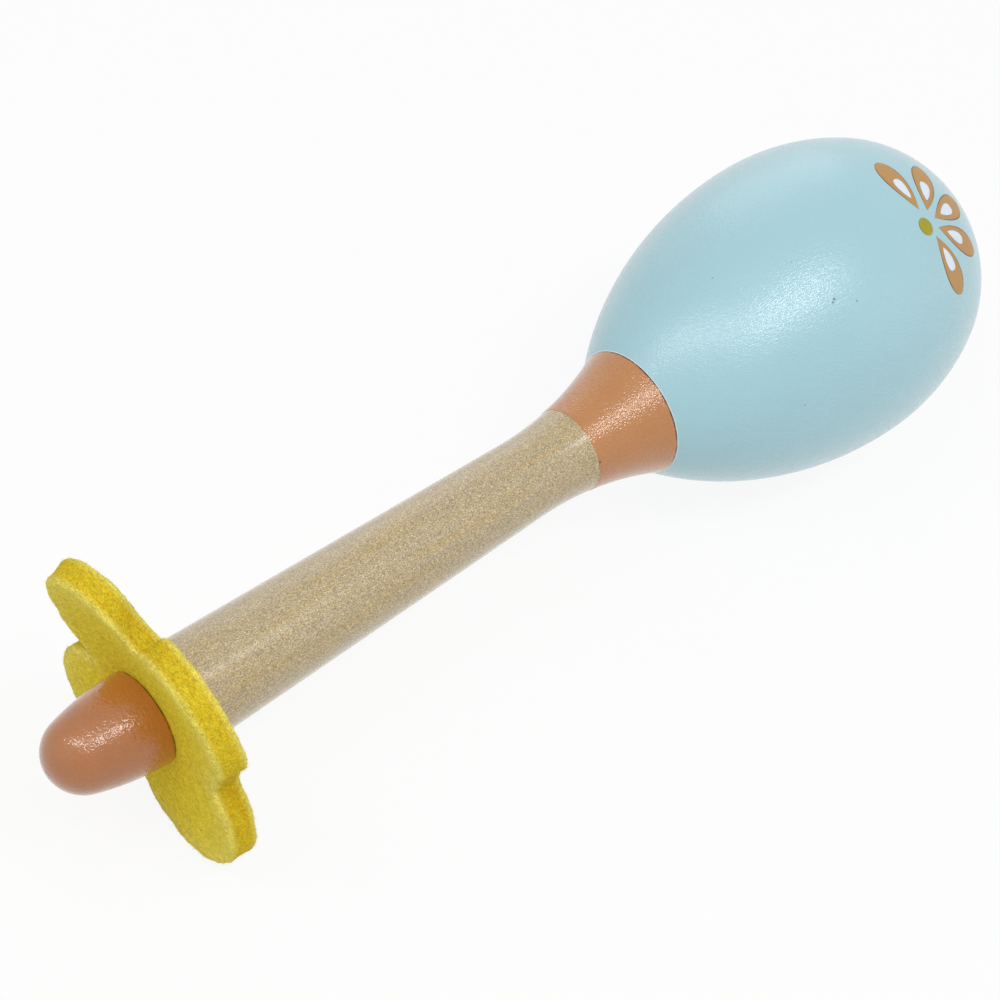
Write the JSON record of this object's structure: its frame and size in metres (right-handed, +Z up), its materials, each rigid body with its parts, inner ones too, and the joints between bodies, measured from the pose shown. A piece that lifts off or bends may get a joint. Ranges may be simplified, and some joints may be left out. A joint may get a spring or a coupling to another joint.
{
  "type": "maraca",
  "caption": "Small wooden maraca with a hollow painted egg-shaped head, loose rattle beads, a flared neck, a bare tapered handle, a felt flower and a round end knob.",
  "frame": {"origin": "on the ground under the middle of the maraca's box, as it lies at rest on its head and two petals", "axes": "+X from the end knob to the head, level with the ground, +Z up"},
  "size_m": [0.1998, 0.0558, 0.0558],
  "materials": {
    "head_paint": "satin pale blue paint over turned wood",
    "coral_paint": "glossy coral paint over turned wood",
    "bare_wood": "pale close-grained wood under clear satin lacquer",
    "felt": "thick pressed wool felt, cut edges",
    "bead": "plain moulded bead"
  },
  "bodies": {
    "maraca": {"head_crown": "head_paint", "head_bowl": "head_paint", "neck_collar": "coral_paint", "handle": "bare_wood", "felt_flower": "felt", "end_knob": "coral_paint"},
    "bead_01": {"rattle_bead_01": "bead"},
    "bead_02": {"rattle_bead_02": "bead"},
    "bead_03": {"rattle_bead_03": "bead"},
    "bead_04": {"rattle_bead_04": "bead"},
    "bead_05": {"rattle_bead_05": "bead"},
    "bead_06": {"rattle_bead_06": "bead"},
    "bead_07": {"rattle_bead_07": "bead"},
    "bead_08": {"rattle_bead_08": "bead"},
    "bead_09": {"rattle_bead_09": "bead"},
    "bead_10": {"rattle_bead_10": "bead"},
    "bead_11": {"rattle_bead_11": "bead"},
    "bead_12": {"rattle_bead_12": "bead"},
    "bead_13": {"rattle_bead_13": "bead"},
    "bead_14": {"rattle_bead_14": "bead"},
    "bead_15": {"rattle_bead_15": "bead"},
    "bead_16": {"rattle_bead_16": "bead"}
  },
  "joints": [
    {"name": "bead_01_slide", "type": "slide", "parent": "maraca", "child": "bead_01", "axis": [-0.04, 0, 0.9992], "range_m": [0, 0.04037]},
    {"name": "bead_02_slide", "type": "slide", "parent": "maraca", "child": "bead_02", "axis": [-0.04, 0, 0.9992], "range_m": [0, 0.04179]},
    {"name": "bead_03_slide", "type": "slide", "parent": "maraca", "child": "bead_03", "axis": [-0.04, 0, 0.9992], "range_m": [0, 0.04251]},
    {"name": "bead_04_slide", "type": "slide", "parent": "maraca", "child": "bead_04", "axis": [-0.04, 0, 0.9992], "range_m": [0, 0.0425]},
    {"name": "bead_05_slide", "type": "slide", "parent": "maraca", "child": "bead_05", "axis": [-0.04, 0, 0.9992], "range_m": [0, 0.04148]},
    {"name": "bead_06_slide", "type": "slide", "parent": "maraca", "child": "bead_06", "axis": [-0.04, 0, 0.9992], "range_m": [0, 0.04019]},
    {"name": "bead_07_slide", "type": "slide", "parent": "maraca", "child": "bead_07", "axis": [-0.04, 0, 0.9992], "range_m": [0, 0.04193]},
    {"name": "bead_08_slide", "type": "slide", "parent": "maraca", "child": "bead_08", "axis": [-0.04, 0, 0.9992], "range_m": [0, 0.04298]},
    {"name": "bead_09_slide", "type": "slide", "parent": "maraca", "child": "bead_09", "axis": [-0.04, 0, 0.9992], "range_m": [0, 0.04335]},
    {"name": "bead_10_slide", "type": "slide", "parent": "maraca", "child": "bead_10", "axis": [-0.04, 0, 0.9992], "range_m": [0, 0.04287]},
    {"name": "bead_11_slide", "type": "slide", "parent": "maraca", "child": "bead_11", "axis": [-0.04, 0, 0.9992], "range_m": [0, 0.04132]},
    {"name": "bead_12_slide", "type": "slide", "parent": "maraca", "child": "bead_12", "axis": [-0.04, 0, 0.9992], "range_m": [0, 0.04037]},
    {"name": "bead_13_slide", "type": "slide", "parent": "maraca", "child": "bead_13", "axis": [-0.04, 0, 0.9992], "range_m": [0, 0.04179]},
    {"name": "bead_14_slide", "type": "slide", "parent": "maraca", "child": "bead_14", "axis": [-0.04, 0, 0.9992], "range_m": [0, 0.04251]},
    {"name": "bead_15_slide", "type": "slide", "parent": "maraca", "child": "bead_15", "axis": [-0.04, 0, 0.9992], "range_m": [0, 0.0425]},
    {"name": "bead_16_slide", "type": "slide", "parent": "maraca", "child": "bead_16", "axis": [-0.04, 0, 0.9992], "range_m": [0, 0.04148]}
  ]
}
